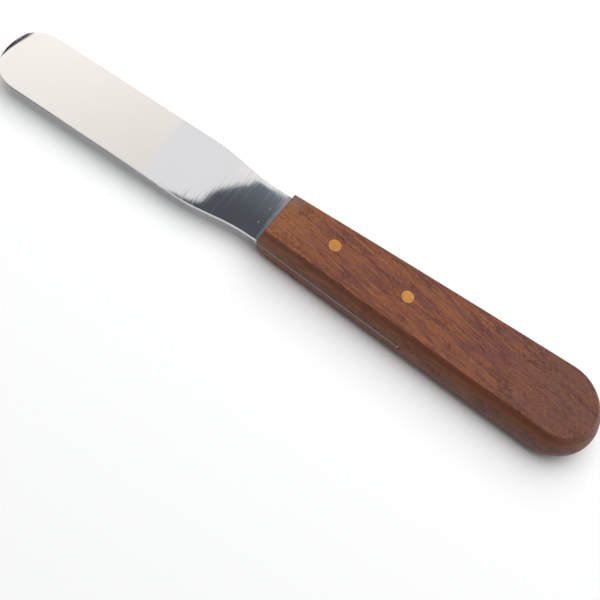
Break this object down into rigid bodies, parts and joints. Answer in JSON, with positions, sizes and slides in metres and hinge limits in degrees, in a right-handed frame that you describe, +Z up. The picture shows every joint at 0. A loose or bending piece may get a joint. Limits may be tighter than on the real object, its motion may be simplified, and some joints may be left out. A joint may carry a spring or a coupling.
{
  "type": "lab spatula",
  "caption": "Flat lab spatula: a thin polished steel blade with a rounded tip, its tang slotted into a hardwood handle with a rounded butt and held by flush brass pins.",
  "frame": {"origin": "under the middle of the spatula's bounding box, on the surface that it lies on", "axes": "+X along the spatula from the blade's tip to the butt of the handle, +Y across it, +Z up, out of the handle's upper flat"},
  "size_m": [0.222, 0.0312, 0.0136],
  "materials": {
    "polished_steel": "mirror polished stainless steel with fine cross grinding lines",
    "hardwood": "oiled red-brown hardwood with dark open pores, satin",
    "brass": "sanded flush, satin"
  },
  "bodies": {
    "root": {"blade": "polished_steel", "handle": "hardwood", "rivet_front": "brass", "rivet_rear": "brass"}
  },
  "joints": []
}
